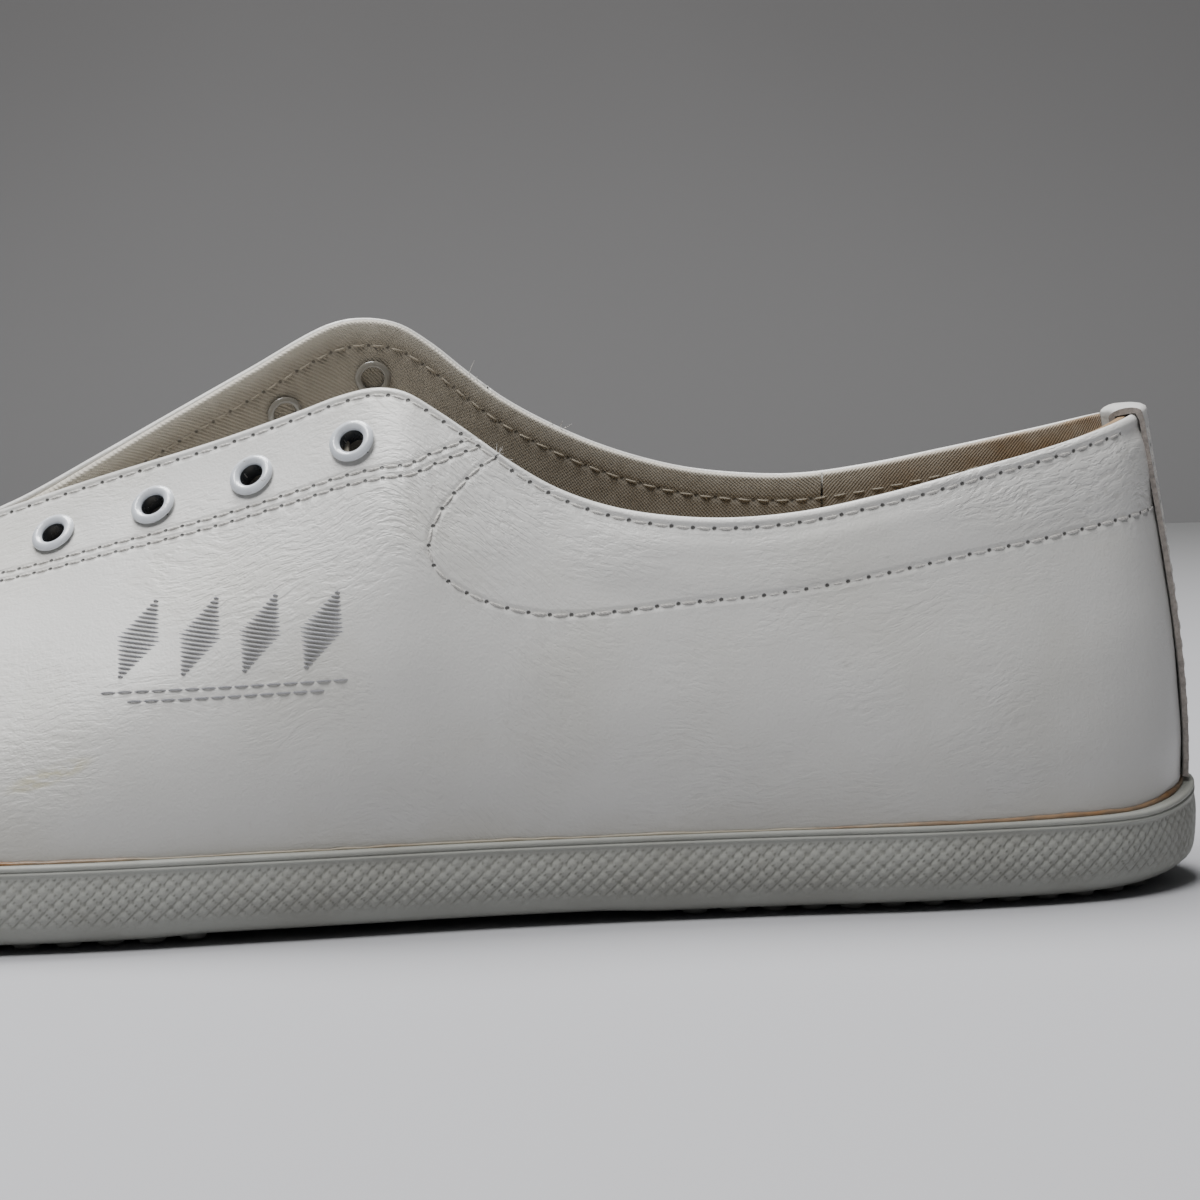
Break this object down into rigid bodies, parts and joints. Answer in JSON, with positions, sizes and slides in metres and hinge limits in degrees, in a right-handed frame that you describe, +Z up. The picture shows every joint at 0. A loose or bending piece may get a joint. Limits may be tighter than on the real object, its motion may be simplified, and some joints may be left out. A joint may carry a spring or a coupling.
{
  "type": "bowling shoe",
  "caption": "Low lace-up bowling shoe for the left foot, unlaced: white leather upper, textile lining, rubber cup sole, enamelled eyelets and a hinged tongue lying low.",
  "frame": {"origin": "on the ground, under the middle of the bounding box; the shoe stands on the nubs of its sole", "axes": "+Z up, the toe points along -X and the heel along +X, +Y is the inner (medial) side of this left shoe, -Y its outer side"},
  "size_m": [0.297, 0.1034, 0.096],
  "materials": {
    "white_rubber": "matt, finely knurled on the side wall, slightly greenish off-white",
    "fibreboard": "matt",
    "footbed_fabric": "matt woven",
    "white_leather": "soft satin, fine grain, lightly wrinkled",
    "stiffener_sheet": "matt resin-filled sheet",
    "twill_lining": "matt beige twill",
    "stained_heel_lining": "matt, tan, worn",
    "enamelled_metal": "glossy white enamel"
  },
  "bodies": {
    "shoe": {"cup_sole": "white_rubber", "insole_board": "fibreboard", "footbed": "footbed_fabric", "vamp": "white_leather", "toe_puff": "stiffener_sheet", "vamp_lining": "twill_lining", "lateral_quarter": "white_leather", "lateral_eyestay": "stiffener_sheet", "lateral_lining": "twill_lining", "medial_quarter": "white_leather", "medial_eyestay": "stiffener_sheet", "medial_lining": "twill_lining", "heel_lining": "stained_heel_lining", "heel_counter": "stiffener_sheet", "collar_reinforcement": "stiffener_sheet", "heel_strip": "white_leather", "eyelet_lateral_1": "enamelled_metal", "eyelet_lateral_2": "enamelled_metal", "eyelet_lateral_3": "enamelled_metal", "eyelet_lateral_4": "enamelled_metal", "eyelet_lateral_5": "enamelled_metal", "eyelet_medial_1": "enamelled_metal", "eyelet_medial_2": "enamelled_metal", "eyelet_medial_3": "enamelled_metal", "eyelet_medial_4": "enamelled_metal", "eyelet_medial_5": "enamelled_metal"},
    "tongue_flap": {"tongue": "white_leather", "tongue_lining": "twill_lining"}
  },
  "joints": [
    {"name": "tongue_lift", "type": "hinge", "parent": "shoe", "child": "tongue_flap", "pos_m": [-0.0685, 0.0001, 0.0526], "axis": [0, -1, 0], "range_deg": [-12, 4]}
  ]
}
